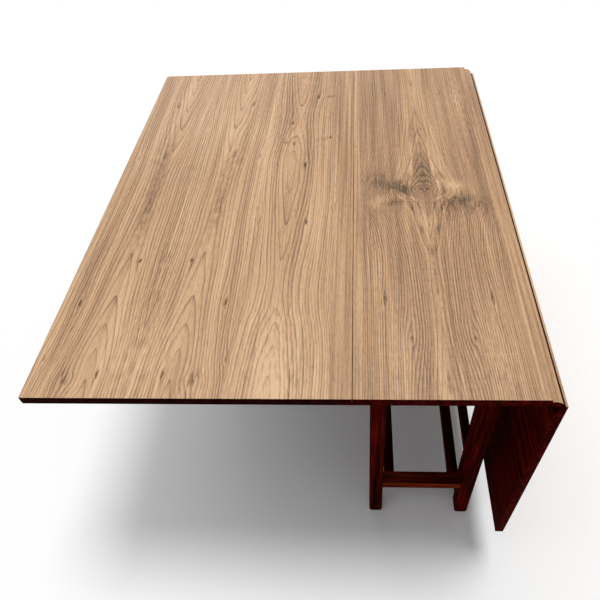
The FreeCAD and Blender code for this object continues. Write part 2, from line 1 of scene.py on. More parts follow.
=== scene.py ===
"""Drop-leaf console table: its veneered boards and every finish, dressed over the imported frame.

Frame: origin on the floor under the middle of the base, X across, Y along the length, Z up.
Shapes are in metres, and the figure of the wood is in millimetres.
The left leaf is raised on its open gate and the right leaf hangs.
"""

import logging
import math
from dataclasses import dataclass, field, replace
from enum import Enum
from typing import Callable

import bmesh
import bpy
from bpy.types import Material, Node, NodeSocket, NodeTree, Object
from mathutils import Matrix, Vector


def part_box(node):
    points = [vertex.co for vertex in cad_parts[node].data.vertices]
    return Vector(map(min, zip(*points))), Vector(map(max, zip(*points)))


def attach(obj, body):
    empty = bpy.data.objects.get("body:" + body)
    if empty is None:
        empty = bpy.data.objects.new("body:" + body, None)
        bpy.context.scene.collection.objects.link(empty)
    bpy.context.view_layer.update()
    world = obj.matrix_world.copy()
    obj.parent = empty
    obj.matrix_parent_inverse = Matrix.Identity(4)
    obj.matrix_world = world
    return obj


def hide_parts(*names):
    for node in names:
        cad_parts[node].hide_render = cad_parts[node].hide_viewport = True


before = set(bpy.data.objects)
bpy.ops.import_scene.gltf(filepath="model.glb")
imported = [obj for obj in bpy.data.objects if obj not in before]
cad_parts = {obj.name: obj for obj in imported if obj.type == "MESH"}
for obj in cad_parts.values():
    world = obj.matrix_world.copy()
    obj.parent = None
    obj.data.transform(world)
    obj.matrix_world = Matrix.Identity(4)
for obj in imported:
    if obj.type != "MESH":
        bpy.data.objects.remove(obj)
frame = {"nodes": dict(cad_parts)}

LOG = logging.getLogger("drop_leaf_table")
MM = 0.001
# Lengths closer than the first are the same, and points closer than the second are merged.
SAME = 0.01 * MM
MERGED = 0.02 * MM
# Shares of a unit direction: along an axis, mostly along it, and turned towards it.
ALONG = 0.9
MOSTLY = 0.5
TURNED = 0.3
# Span that holds nearly all values of a noise.
NOISE_SPAN = (0.3, 0.7)
Pair = tuple[float, float]
Triple = tuple[float, float, float]
# Places along a board and a length at each.
Profile = tuple[Pair, ...]
# Takes the middle of a face or edge, and its normal or direction.
Test = Callable[[Vector, Vector], bool]


class Grain(Enum):
    """Direction that the grain of a piece runs in, as the turn that brings it onto Y."""

    ALONG_X = (0.0, 0.0, math.pi / 2)
    ALONG_Y = (0.0, 0.0, 0.0)
    ALONG_Z = (math.pi / 2, 0.0, 0.0)


class Coat(Enum):
    """Colours of the dark, middle and light lines of stained wood: the even coat, a lighter and
    more orange one, and a darker one that paints shade.
    """

    EVEN = ("#0e0101", "#320301", "#660f06")
    WARM = ("#1c0602", "#561806", "#96381a")
    # Painted shade: a darker copy of the even coat, for the left leaf's stained faces.
    DEEP = ("#080101", "#1a0201", "#380703")


class Pick(Enum):
    """Kind of element that is selected in edit mode."""

    FACES = "FACE"
    EDGES = "EDGE"


class Hang(Enum):
    """How a leaf stands when the table is at rest, in degrees below level."""

    RAISED = 0.0
    HANGING = 90.8


def linear(colour: str) -> tuple[float, float, float, float]:
    """Turn an sRGB colour into the linear one that a shader takes.

    Args:
        colour: six hex digits after a hash sign.

    Returns:
        Red, green, blue and alpha.
    """
    shares = [int(colour[i:i + 2], 16) / 255 for i in (1, 3, 5)]
    red, green, blue = [
        s / 12.92 if s <= 0.04045 else ((s + 0.055) / 1.055) ** 2.4 for s in shares
    ]
    return (red, green, blue, 1.0)


def add(tree: NodeTree, kind: str, inputs: dict | None = None, **settings: object) -> Node:
    """Add one node, set it up, and fill or link its inputs.

    Args:
        tree: node tree of the material or world.
        kind: node type without its common prefix.
        inputs: socket name or number to a value, a socket, or a node whose first output is meant.
        settings: properties of the node; stops are the colours of a ramp by place, and points
            are those of a curve.

    Returns:
        The new node.
    """
    made = tree.nodes.new("ShaderNode" + kind)
    for name, value in settings.items():
        if name == "stops":
            elements = made.color_ramp.elements
            while len(elements) < len(value):
                elements.new(1.0)
            for element, (place, colour) in zip(elements, value.items()):
                element.position, element.color = place, linear(colour)
        elif name == "points":
            line = made.mapping.curves[0]
            line.points[0].location, line.points[1].location = value[0], value[-1]
            for point in value[1:-1]:
                line.points.new(*point)
            made.mapping.update()
        else:
            setattr(made, name, value)
    for name, value in (inputs or {}).items():
        if isinstance(value, Node):
            value = value.outputs[0]
        if isinstance(value, NodeSocket):
            tree.links.new(value, made.inputs[name])
        else:
            made.inputs[name].default_value = value
    return made


def calc(tree: NodeTree, operation: str, *terms: object) -> Node:
    """Add one step of arithmetic.

    Args:
        tree: node tree of the material or world.
        operation: what is done with the terms.
        terms: numbers, sockets or nodes.

    Returns:
        The node that gives the result.
    """
    return add(tree, "Math", dict(enumerate(terms)), operation=operation)


def spread(tree: NodeTree, value: object, old: Pair, new: Pair) -> Node:
    """Carry a value from one range to another, and hold it inside that.

    Args:
        tree: node tree of the material or world.
        value: number, socket or node.
        old: range that it comes from.
        new: range that it goes to.

    Returns:
        The node that gives the new value.
    """
    return add(tree, "MapRange", {0: value, 1: old[0], 2: old[1], 3: new[0], 4: new[1]})


def seen_rays(tree: NodeTree) -> Node:
    """Tell rays that show the background, also in metal and glass, from rays that light things.

    Args:
        tree: node tree of the material or world.

    Returns:
        The node that gives 1 for rays that show it, and 0 for the others.
    """
    path = add(tree, "LightPath")
    seen = calc(tree, "ADD", path.outputs["Is Camera Ray"], path.outputs["Is Glossy Ray"])
    return add(tree, "Math", {0: seen, 1: path.outputs["Is Transmission Ray"]}, use_clamp=True)


def new_material(name: str) -> tuple[Material, NodeTree]:
    """Make an empty node material.

    Args:
        name: name of the finish.

    Returns:
        The material and its node tree.
    """
    material = bpy.data.materials.new(name)
    material.use_nodes = True
    material.node_tree.nodes.clear()
    return material, material.node_tree


def in_millimetres(tree: NodeTree, turn: Matrix = Matrix()) -> Node:
    """Give the place on a piece in millimetres.

    Args:
        tree: the node tree.
        turn: where a pattern that lies elsewhere is brought from.

    Returns:
        The node that gives the place.
    """
    return add(tree, "Mapping", {
        "Vector": add(tree, "TexCoord").outputs["Object"], "Scale": (1 / MM, 1 / MM, 1 / MM),
        "Rotation": turn.to_euler(), "Location": turn.to_translation() / MM,
    })


def drawn_noise(tree: NodeTree, place: object, features: Triple, detail: float) -> Node:
    """Lay noise that is drawn out along the grain, about 0.5 on average.

    Args:
        tree: the node tree.
        place: place in millimetres.
        features: size of its features across, along and through the piece, in millimetres.
        detail: octaves of the noise.

    Returns:
        The noise node.
    """
    scale = [1 / size for size in features]
    drawn = add(tree, "VectorMath", {0: place, 1: scale}, operation="MULTIPLY")
    return add(tree, "TexNoise", {
        "Vector": drawn, "Scale": 1.0, "Detail": detail, "Roughness": 0.6,
    })


@dataclass(frozen=True)
class Knot:
    """Knot in a sheet of veneer, which the grain flows round within its radius, in millimetres.

    stretch is how much longer than wide the flow is, and spot how much narrower the dark middle
    is, as a power of the flow.
    """

    across: float
    along: float
    radius: float = 8.0
    dark: float = 0.95
    stretch: float = 3.2
    spot: float = 14.0


@dataclass(frozen=True)
class Mark:
    """Streak in a sheet of veneer, or a broad band of painted light or shade, from one place to
    another, in millimetres.

    It is darker than the wood round it, or lighter if its tone is below 0.
    """

    start: Pair
    end: Pair
    width: float
    tone: float


@dataclass(frozen=True)
class Sheet:
    """Sheet of plain-sliced veneer, opened about its match line. Lengths are in millimetres.

    heart is how far the middle of its arches lies from the match line. depth gives, along the
    table, how deep below the cut the middle of the tree was there, fork how far a fork in the
    tree pushes the grain aside, and wing how far the grain bulges out beside the fork. ring is
    the width of a growth ring near the middle of the arches, narrowing the power by which rings
    narrow further out, where 1 is not at all, and ripple the strength of the fine waves across
    the grain.
    """

    match: float
    heart: float
    depth: Profile
    knots: tuple[Knot, ...]
    marks: tuple[Mark, ...] = ()
    fork: Profile = ()
    wing: Profile = ()
    tone: float = 0.2
    ring: float = 7.5
    narrowing: float = 1.35
    ripple: float = 0.0
    seed: float = 0.0
    opened: bool = True


@dataclass(frozen=True)
class WalnutTop:
    """American walnut veneer and solid lippings, sanded and finished with satin lacquer.

    It gives the eye thin dark growth rings in long arches, short open pores along the grain, slow
    changes from honey to grey brown, a few pin knots, and a soft sheen at a low angle.

    The sways bend the grain, and crumple roughens knots and streaks. A ring has its sheet's width
    at ring_place from the middle of the tree. Over line_span from the middle of the arches, the
    line of a ring goes from the first of line_powers to the second, and a higher power is thinner.
    The shares say how much of each pattern goes into the tone, and pit_tones takes their average
    off again, less of it in a pore.
    """

    name: str
    sheets: tuple[Sheet, ...]
    seams: tuple[float, ...]
    lippings: Pair
    lipping_tone: float
    turn: Matrix = field(default_factory=Matrix)
    length: float = 1150.0
    curve_top: float = 80.0
    fork_fade: float = 70.0
    wing_reach: float = 60.0
    wing_slope: float = 0.6
    slow_sway: float = 22.0
    quick_sway: float = 6.0
    crumple: Triple = (7.0, 26.0, 0.0)
    arch_power: float = 1.6
    ring_place: float = 25.0
    line_span: Pair = (3.0, 30.0)
    line_powers: Pair = (9.0, 2.2)
    line_weights: Pair = (0.26, 0.66)
    band_share: float = 0.12
    fibre_share: float = 0.85
    cloud_share: float = 0.62
    pit_tones: Pair = (-0.74, -0.54)
    lipping_share: float = 0.8
    lipping_seed: float = 40.0

    def build(self) -> Material:
        """Make the material.

        Returns:
            The finished material.
        """
        material, tree = new_material(self.name)
        place = in_millimetres(tree, self.turn)
        split = add(tree, "SeparateXYZ", {0: place})
        tone, dark = self.figure(tree, split, self.sheets[0])
        for seam, sheet in zip(self.seams, self.sheets[1:]):
            beyond = calc(tree, "GREATER_THAN", split, seam)
            next_tone, next_dark = self.figure(tree, split, sheet)
            tone = add(tree, "Mix", {0: beyond, 2: tone, 3: next_tone})
            dark = add(tree, "Mix", {0: beyond, 2: dark, 3: next_dark})
        tone, dark = self.lipped(tree, split, tone, dark)
        # Real pores are 0.2 mm wide; they are drawn 1.5 mm wide so that they show.
        pores = drawn_noise(tree, place, (1.5, 16.0, 1.5), 2.0)
        fibres = drawn_noise(tree, place, (2.6, 420.0, 2.6), 3.0)
        clouds = drawn_noise(tree, place, (30.0, 600.0, 30.0), 2.0)
        for noise, share in ((fibres, self.fibre_share), (clouds, self.cloud_share)):
            tone = calc(tree, "MULTIPLY_ADD", noise, share, tone)
        pits = spread(tree, pores, (0.5, 0.7), self.pit_tones)
        tone = calc(tree, "ADD", tone, pits)
        colour = add(tree, "ValToRGB", {0: tone}, stops={
            0.0: "#e0bc94", 0.22: "#cea780", 0.45: "#b28b68", 0.7: "#8b6b50", 1.0: "#5e4b38",
        })
        shade = add(tree, "ValToRGB", {0: dark}, stops={
            0.0: "#ffffff", 0.5: "#a08b7a", 1.0: "#4a3d35",
        })
        colour = add(
            tree, "Mix", {0: 1.0, 6: colour, 7: shade}, data_type="RGBA", blend_type="MULTIPLY"
        )
        rough = spread(tree, tone, (0.0, 0.8), (0.46, 0.58))
        bump = add(
            tree, "Bump", {"Strength": 0.12, "Distance": 0.0004, "Height": pores}, invert=True
        )
        shader = add(tree, "BsdfPrincipled", {
            "Base Color": colour.outputs[2], "Roughness": rough, "Normal": bump,
            "IOR": 1.5, "Specular IOR Level": 0.3,
        })
        add(tree, "OutputMaterial", {0: shader})
        return material

    def figure(self, tree: NodeTree, split: Node, sheet: Sheet) -> tuple[Node, object]:
        """Draw the growth rings, knots and streaks of one sheet, and the painted light or shade
        among its marks.

        Args:
            tree: the node tree.
            split: node that gives the place across, along and through the board.
            sheet: the sheet of veneer.

        Returns:
            The tone of the rings and streaks, and the darkness of the knots.
        """
        across, along = calc(tree, "SUBTRACT", split, sheet.match), split.outputs[1]
        if sheet.opened:
            across = calc(tree, "ABSOLUTE", across)
        flat = add(tree, "CombineXYZ", {0: across, 1: along, 2: sheet.seed})
        slow = drawn_noise(tree, flat, (80.0, 340.0, 1.0), 1.0)
        quick = drawn_noise(tree, flat, (26.0, 190.0, 1.0), 1.0)
        rough = drawn_noise(tree, flat, (9.0, 24.0, 1.0), 2.0)
        crumpled = add(tree, "VectorMath", {
            0: rough.outputs["Color"], 1: self.crumple, 2: flat,
        }, operation="MULTIPLY_ADD")
        crumpled = add(tree, "VectorMath", {
            0: crumpled, 1: Vector(self.crumple) / 2,
        }, operation="SUBTRACT")
        shift, dark = self.flow(tree, crumpled, sheet)
        if sheet.fork:
            shift = self.forked(tree, across, along, sheet, shift)
        side = calc(tree, "SUBTRACT", across, shift)
        side = calc(tree, "MULTIPLY_ADD", slow, self.slow_sway, side)
        side = calc(tree, "MULTIPLY_ADD", quick, self.quick_sway, side)
        # The noises average 0.5, so half of the sways comes off again.
        middle = sheet.heart + (self.slow_sway + self.quick_sway) / 2
        side = calc(tree, "ABSOLUTE", calc(tree, "SUBTRACT", side, middle))
        tone = self.ringed(tree, side, along, sheet)
        if sheet.ripple:
            waves = drawn_noise(tree, flat, (34.0, 5.0, 1.0), 1.0)
            waves = calc(tree, "SUBTRACT", waves, 0.5)
            tone = calc(tree, "MULTIPLY_ADD", waves, sheet.ripple, tone)
        return self.marked(tree, crumpled, sheet, tone), dark

    def forked(
        self, tree: NodeTree, across: Node, along: object, sheet: Sheet,
        shift: object,
    ) -> Node:
        """Add how far the fork in the tree pushes the grain aside, and its bulge beside the fork.

        Args:
            tree: the node tree.
            across: place across the sheet.
            along: place along the board.
            sheet: the sheet of veneer.
            shift: push across the grain so far.

        Returns:
            The push across the grain in millimetres.
        """
        fade = calc(tree, "EXPONENT", calc(tree, "MULTIPLY", across, -1 / self.fork_fade))
        fork = self.along(tree, along, sheet.fork)
        shift = calc(tree, "MULTIPLY_ADD", fork, fade, shift)
        sloped = calc(tree, "MULTIPLY_ADD", across, self.wing_slope, along)
        out = calc(tree, "DIVIDE", across, self.wing_reach)
        fade = calc(tree, "EXPONENT", calc(tree, "SUBTRACT", 1.0, out))
        fade = calc(tree, "MULTIPLY", fade, out)
        wing = self.along(tree, sloped, sheet.wing)
        return calc(tree, "MULTIPLY_ADD", wing, fade, shift)

    def ringed(self, tree: NodeTree, side: Node, along: object, sheet: Sheet) -> Node:
        """Draw the lines of the growth rings where the cut goes through them.

        Args:
            tree: the node tree.
            side: distance from the middle of the arches.
            along: place along the board.
            sheet: the sheet of veneer.

        Returns:
            The tone of the rings.
        """
        # A power below 2 makes the arches pointed.
        reach = calc(tree, "POWER", side, self.arch_power)
        down = calc(tree, "POWER", self.along(tree, along, sheet.depth), self.arch_power)
        reach = calc(tree, "POWER", calc(tree, "ADD", reach, down), 1 / self.arch_power)
        # Rings narrow as the tree grows.
        rings = calc(tree, "POWER", calc(tree, "DIVIDE", reach, self.ring_place), sheet.narrowing)
        count = self.ring_place / (sheet.narrowing * sheet.ring)
        rings = calc(tree, "MULTIPLY", rings, count)
        year = calc(tree, "ADD", calc(tree, "FLOOR", rings), sheet.seed)
        vigour = add(tree, "TexWhiteNoise", {"W": year}, noise_dimensions="1D")
        # A line stays thin where the cut runs nearly along a ring, in the middle of the arches.
        thin = spread(tree, side, self.line_span, self.line_powers)
        late = calc(tree, "POWER", calc(tree, "FRACT", rings), thin)
        weight = spread(tree, vigour, (0.0, 1.0), self.line_weights)
        tone = calc(tree, "MULTIPLY_ADD", late, weight, sheet.tone - self.band_share / 2)
        band = add(tree, "SeparateXYZ", {0: vigour.outputs["Color"]})
        return calc(tree, "MULTIPLY_ADD", band.outputs[1], self.band_share, tone)

    def along(self, tree: NodeTree, place: object, points: Profile) -> Node:
        """Look up a length that changes along the board.

        Args:
            tree: the node tree.
            place: place along the board in millimetres.
            points: lengths in millimetres by place.

        Returns:
            The node that gives the length.
        """
        share = calc(tree, "MULTIPLY_ADD", place, 1 / self.length, 0.5)
        curve = add(tree, "FloatCurve", {"Value": share}, points=[
            (spot / self.length + 0.5, size / self.curve_top) for spot, size in points
        ])
        return calc(tree, "MULTIPLY", curve, self.curve_top)

    def marked(self, tree: NodeTree, flat: Node, sheet: Sheet, tone: Node) -> Node:
        """Lay the streaks of a sheet, and its bands of painted light or shade, over the tone,
        feathered, and soft at their sides and ends.

        Args:
            tree: the node tree.
            flat: place on the sheet.
            sheet: the sheet of veneer.
            tone: tone so far.

        Returns:
            The tone with the streaks.
        """
        drawn = 0.0
        for mark in sheet.marks:
            start, end = Vector((*mark.start, sheet.seed)), Vector((*mark.end, sheet.seed))
            run = end - start
            near = add(tree, "Mapping", {
                "Vector": flat, "Location": (start + end) / 2,
                "Rotation": (0.0, 0.0, math.atan2(run.y, run.x)),
                "Scale": (run.length / 2, mark.width, 1.0),
            }, vector_type="TEXTURE")
            soft = add(tree, "TexGradient", {0: near}, gradient_type="QUADRATIC_SPHERE")
            drawn = calc(tree, "MULTIPLY_ADD", soft.outputs[1], mark.tone, drawn)
        feather = drawn_noise(tree, flat, (5.0, 26.0, 1.0), 2.0)
        feather = spread(tree, feather, (0.36, 0.64), (0.2, 1.8))
        return calc(tree, "MULTIPLY_ADD", drawn, feather, tone)

    def flow(self, tree: NodeTree, flat: Node, sheet: Sheet) -> tuple[object, object]:
        """Add up how far the knots push the grain aside, and how dark they are.

        Args:
            tree: the node tree.
            flat: place on the sheet.
            sheet: the sheet of veneer.

        Returns:
            The push across the grain in millimetres, and the darkness.
        """
        shift, dark = 0.0, 0.0
        for knot in sheet.knots:
            sizes = (1 / knot.radius, 1 / (knot.radius * knot.stretch), 0.0)
            centre = (-knot.across * sizes[0], -knot.along * sizes[1], 0.0)
            near = add(
                tree, "VectorMath", {0: flat, 1: sizes, 2: centre}, operation="MULTIPLY_ADD"
            )
            square = add(tree, "VectorMath", {0: near, 1: near}, operation="DOT_PRODUCT")
            square = square.outputs["Value"]
            hold = calc(tree, "DIVIDE", 1.0, calc(tree, "ADD", square, 1.0))
            aside = calc(tree, "MULTIPLY", add(tree, "SeparateXYZ", {0: near}), hold)
            shift = calc(tree, "MULTIPLY_ADD", aside, knot.radius, shift)
            spot = calc(tree, "POWER", hold, knot.spot)
            dark = calc(tree, "MULTIPLY_ADD", spot, knot.dark, dark)
        return shift, dark

    def lipped(
        self, tree: NodeTree, split: Node, tone: object, dark: object
    ) -> tuple[object, object]:
        """Lay the straight-grained solid lippings over the figure.

        Args:
            tree: the node tree.
            split: node that gives the place across, along and through the board.
            tone: tone of the veneer.
            dark: darkness of the veneer's knots.

        Returns:
            Tone and darkness with the lippings.
        """
        low, high = self.lippings
        left = calc(tree, "LESS_THAN", split, low)
        right = calc(tree, "GREATER_THAN", split, high)
        edge = calc(tree, "MAXIMUM", left, right)
        lines = add(tree, "CombineXYZ", {0: split, 1: split.outputs[1], 2: self.lipping_seed})
        straight = drawn_noise(tree, lines, (5.0, 700.0, 1.0), 2.0)
        least = self.lipping_tone - self.lipping_share / 2
        straight = calc(tree, "MULTIPLY_ADD", straight, self.lipping_share, least)
        tone = add(tree, "Mix", {0: edge, 2: tone, 3: straight})
        return tone, add(tree, "Mix", {0: edge, 2: dark, 3: 0.0})


@dataclass(frozen=True)
class MahoganyStain:
    """Close-grained hardwood under dark mahogany stain and a dull wax.

    It gives the eye a near-black red brown with fine redder lines along the grain, and hardly
    any shine. tones are where the coat's three colours lie, and the shares say how much broad
    bands and fine lines go into the tone.
    """

    grain: Grain
    coat: Coat = Coat.EVEN
    tones: Triple = (0.36, 0.5, 0.64)
    band_share: float = 0.45
    line_share: float = 0.55

    def build(self) -> Material:
        """Make the material.

        Returns:
            The finished material.
        """
        name = f"{self.coat.name}_mahogany_stained_wood_{self.grain.name}".lower()
        material, tree = new_material(name)
        turn = {"Vector": in_millimetres(tree), "Rotation": self.grain.value}
        place = add(tree, "Mapping", turn)
        bands = drawn_noise(tree, place, (14.0, 280.0, 14.0), 2.0)
        lines = drawn_noise(tree, place, (2.4, 110.0, 2.4), 3.0)
        # Real pores are 0.1 mm wide; they are drawn 1.2 mm wide so that they show.
        pores = drawn_noise(tree, place, (1.2, 16.0, 1.2), 2.0)
        tone = calc(tree, "MULTIPLY", bands, self.band_share)
        tone = calc(tree, "MULTIPLY_ADD", lines, self.line_share, tone)
        colour = add(tree, "ValToRGB", {0: tone}, stops=dict(zip(self.tones, self.coat.value)))
        rough = spread(tree, pores, NOISE_SPAN, (0.55, 0.75))
        bump = add(tree, "Bump", {"Strength": 0.2, "Distance": 0.0004, "Height": pores})
        shader = add(tree, "BsdfPrincipled", {
            "Base Color": colour, "Roughness": rough, "Normal": bump,
            "IOR": 1.5, "Specular IOR Level": 0.004,
        })
        add(tree, "OutputMaterial", {0: shader})
        return material


@dataclass(frozen=True)
class BareBeech:
    """Planed beech without a finish: pale pinkish tan with short darker flecks along the grain."""

    def build(self) -> Material:
        """Make the material.

        Returns:
            The finished material.
        """
        material, tree = new_material("planed_beech")
        flecks = drawn_noise(tree, in_millimetres(tree), (8.0, 1.1, 1.1), 2.0)
        colour = add(tree, "ValToRGB", {0: flecks}, stops={
            0.35: "#b98d62", 0.5: "#d2ab80", 0.7: "#dcb98f",
        })
        bump = add(tree, "Bump", {"Strength": 0.15, "Distance": 0.0003, "Height": flecks})
        shader = add(tree, "BsdfPrincipled", {
            "Base Color": colour, "Roughness": 0.62, "Normal": bump, "IOR": 1.5,
        })
        add(tree, "OutputMaterial", {0: shader})
        return material


@dataclass(frozen=True)
class PlatedSteel:
    """Zinc-plated steel, rolled or turned: a soft grey metal with faint clouds and fine lines.

    Its roughness falls by polish and rises by scuff along the lines.
    """

    name: str
    light: str
    dull: str
    roughness: float
    polish: float = 0.08
    scuff: float = 0.1

    def build(self) -> Material:
        """Make the material.

        Returns:
            The finished material.
        """
        material, tree = new_material(self.name)
        place = in_millimetres(tree)
        clouds = drawn_noise(tree, place, (5.5, 5.5, 5.5), 3.0)
        lines = drawn_noise(tree, place, (0.6, 8.0, 0.6), 2.0)
        colour = add(tree, "ValToRGB", {0: clouds}, stops={0.35: self.dull, 0.65: self.light})
        ends = (self.roughness - self.polish, self.roughness + self.scuff)
        rough = spread(tree, lines, NOISE_SPAN, ends)
        bump = add(tree, "Bump", {"Strength": 0.08, "Distance": 0.0001, "Height": lines})
        shader = add(tree, "BsdfPrincipled", {
            "Base Color": colour, "Metallic": 1.0, "Roughness": rough, "Normal": bump,
        })
        add(tree, "OutputMaterial", {0: shader})
        return material


def select(*objects: Object) -> None:
    """Select only these objects, and make the last of them active.

    Args:
        objects: what is selected, or nothing.
    """
    bpy.ops.object.select_all(action="DESELECT")
    for item in objects:
        item.select_set(True)
        bpy.context.view_layer.objects.active = item


def pick(kind: Pick, test: Test) -> None:
    """Select the faces or edges that pass a test, in the mesh being edited.

    Args:
        kind: faces or edges.
        test: takes the middle of the element, and its normal or direction.
    """
    bpy.ops.mesh.select_mode(type=kind.value)
    bpy.ops.mesh.select_all(action="DESELECT")
    mesh = bpy.context.edit_object.data
    shape = bmesh.from_edit_mesh(mesh)
    for item in (shape.faces if kind is Pick.FACES else shape.edges):
        ends = [v.co for v in item.verts]
        middle = sum(ends, Vector()) / len(ends)
        way = item.normal if kind is Pick.FACES else (ends[1] - ends[0]).normalized()
        if test(middle, way):
            item.select_set(True)
    bmesh.update_edit_mesh(mesh)


def close_to(a: float, b: float) -> bool:
    """Whether two lengths are the same to a hundredth of a millimetre."""
    return abs(a - b) < SAME


@dataclass
class TopBoard:
    """Board of the top with half of a rule joint along an edge. Lengths are in metres."""

    name: str
    body: str
    length: float = 1.150
    top: float = 0.757
    under: float = 0.738
    seam: float = 0.166
    pin_x: float = 0.171
    pin_z: float = 0.7325
    arris: float = 0.0007
    arris_steps: int = 3
    arris_angle: float = 35.0
    smooth_angle: float = 30.0
    arc_steps: int = 20

    def start(self, low_x: float, high_x: float) -> Object:
        """Add a block of the board's length and thickness, and go into edit mode on it.

        Args:
            low_x: its left side.
            high_x: its right side.

        Returns:
            The new object.
        """
        select()
        size = (high_x - low_x, self.length, self.top - self.under)
        middle = ((low_x + high_x) / 2, 0.0, (self.top + self.under) / 2)
        bpy.ops.mesh.primitive_cube_add(size=1.0, location=middle, scale=size)
        block = bpy.context.object
        block.name = block.data.name = self.name
        bpy.ops.object.transform_apply(location=True, rotation=True, scale=True)
        bpy.ops.object.mode_set(mode="EDIT")
        return block

    def bisect(self, place: Vector, normal: Vector) -> None:
        """Cut the faces of the block along a plane.

        Args:
            place: point on the plane.
            normal: its normal.
        """
        bpy.ops.mesh.select_all(action="SELECT")
        bpy.ops.mesh.bisect(plane_co=place, plane_no=normal)

    def open_faces(self, test: Test) -> None:
        """Delete the faces that pass a test, and the edges that then bound no face.

        Args:
            test: takes the middle of a face and its normal.
        """
        pick(Pick.FACES, test)
        bpy.ops.mesh.delete(type="ONLY_FACE")
        bpy.ops.mesh.select_all(action="SELECT")
        bpy.ops.mesh.delete_loose(use_verts=True, use_edges=True, use_faces=False)

    def sweep(self, x: float, z: float, pin_x: float, angle: float) -> None:
        """Spin the long edge at a place about the hinge pin.

        Args:
            x: place of the edge across the table.
            z: its height.
            pin_x: place of the pin across the table.
            angle: how far, in radians.
        """
        pick(Pick.EDGES, lambda m, d: close_to(m.x, x) and close_to(m.z, z) and abs(d.y) > ALONG)
        bpy.ops.mesh.spin(
            steps=self.arc_steps, angle=-angle, center=(pin_x, 0.0, self.pin_z),
            axis=(0.0, 1.0, 0.0),
        )

    def close_ends(self) -> None:
        """Merge what meets, fill both ends, and turn every face outwards."""
        bpy.ops.mesh.select_all(action="SELECT")
        bpy.ops.mesh.remove_doubles(threshold=MERGED)
        for end in (-self.length / 2, self.length / 2):
            pick(Pick.EDGES, lambda m, d: close_to(m.y, end))
            bpy.ops.mesh.edge_face_add()
        bpy.ops.mesh.select_all(action="SELECT")
        bpy.ops.mesh.normals_make_consistent(inside=False)

    def ease(self, board: Object) -> None:
        """Round the arrises by a hair and shade the curves smooth.

        Args:
            board: the board, in object mode.
        """
        bevel = board.modifiers.new("eased_arrises", "BEVEL")
        bevel.width = self.arris
        bevel.segments = self.arris_steps
        bevel.limit_method = "ANGLE"
        bevel.angle_limit = math.radians(self.arris_angle)
        bpy.ops.object.modifier_apply(modifier=bevel.name)
        bpy.ops.object.shade_smooth_by_angle(angle=math.radians(self.smooth_angle))

    def dress(
        self, board: Object, walnut: Material, stain: Material,
        stained_or_shaded: Test,
    ) -> None:
        """Give the show faces walnut and the rest stain, and say what the board replaces.

        Args:
            board: the board, in object mode.
            walnut: finish of the show faces.
            stain: finish of the ends, outer edge and underside, and of the shade that a board
                paints with it.
            stained_or_shaded: takes the middle and normal of a face.
        """
        board.data.materials.append(walnut)
        board.data.materials.append(stain)
        bpy.ops.object.mode_set(mode="EDIT")
        pick(Pick.FACES, stained_or_shaded)
        board.active_material_index = 1
        bpy.ops.object.material_slot_assign()
        bpy.ops.object.mode_set(mode="OBJECT")
        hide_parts(self.name.removeprefix("dressed_"))


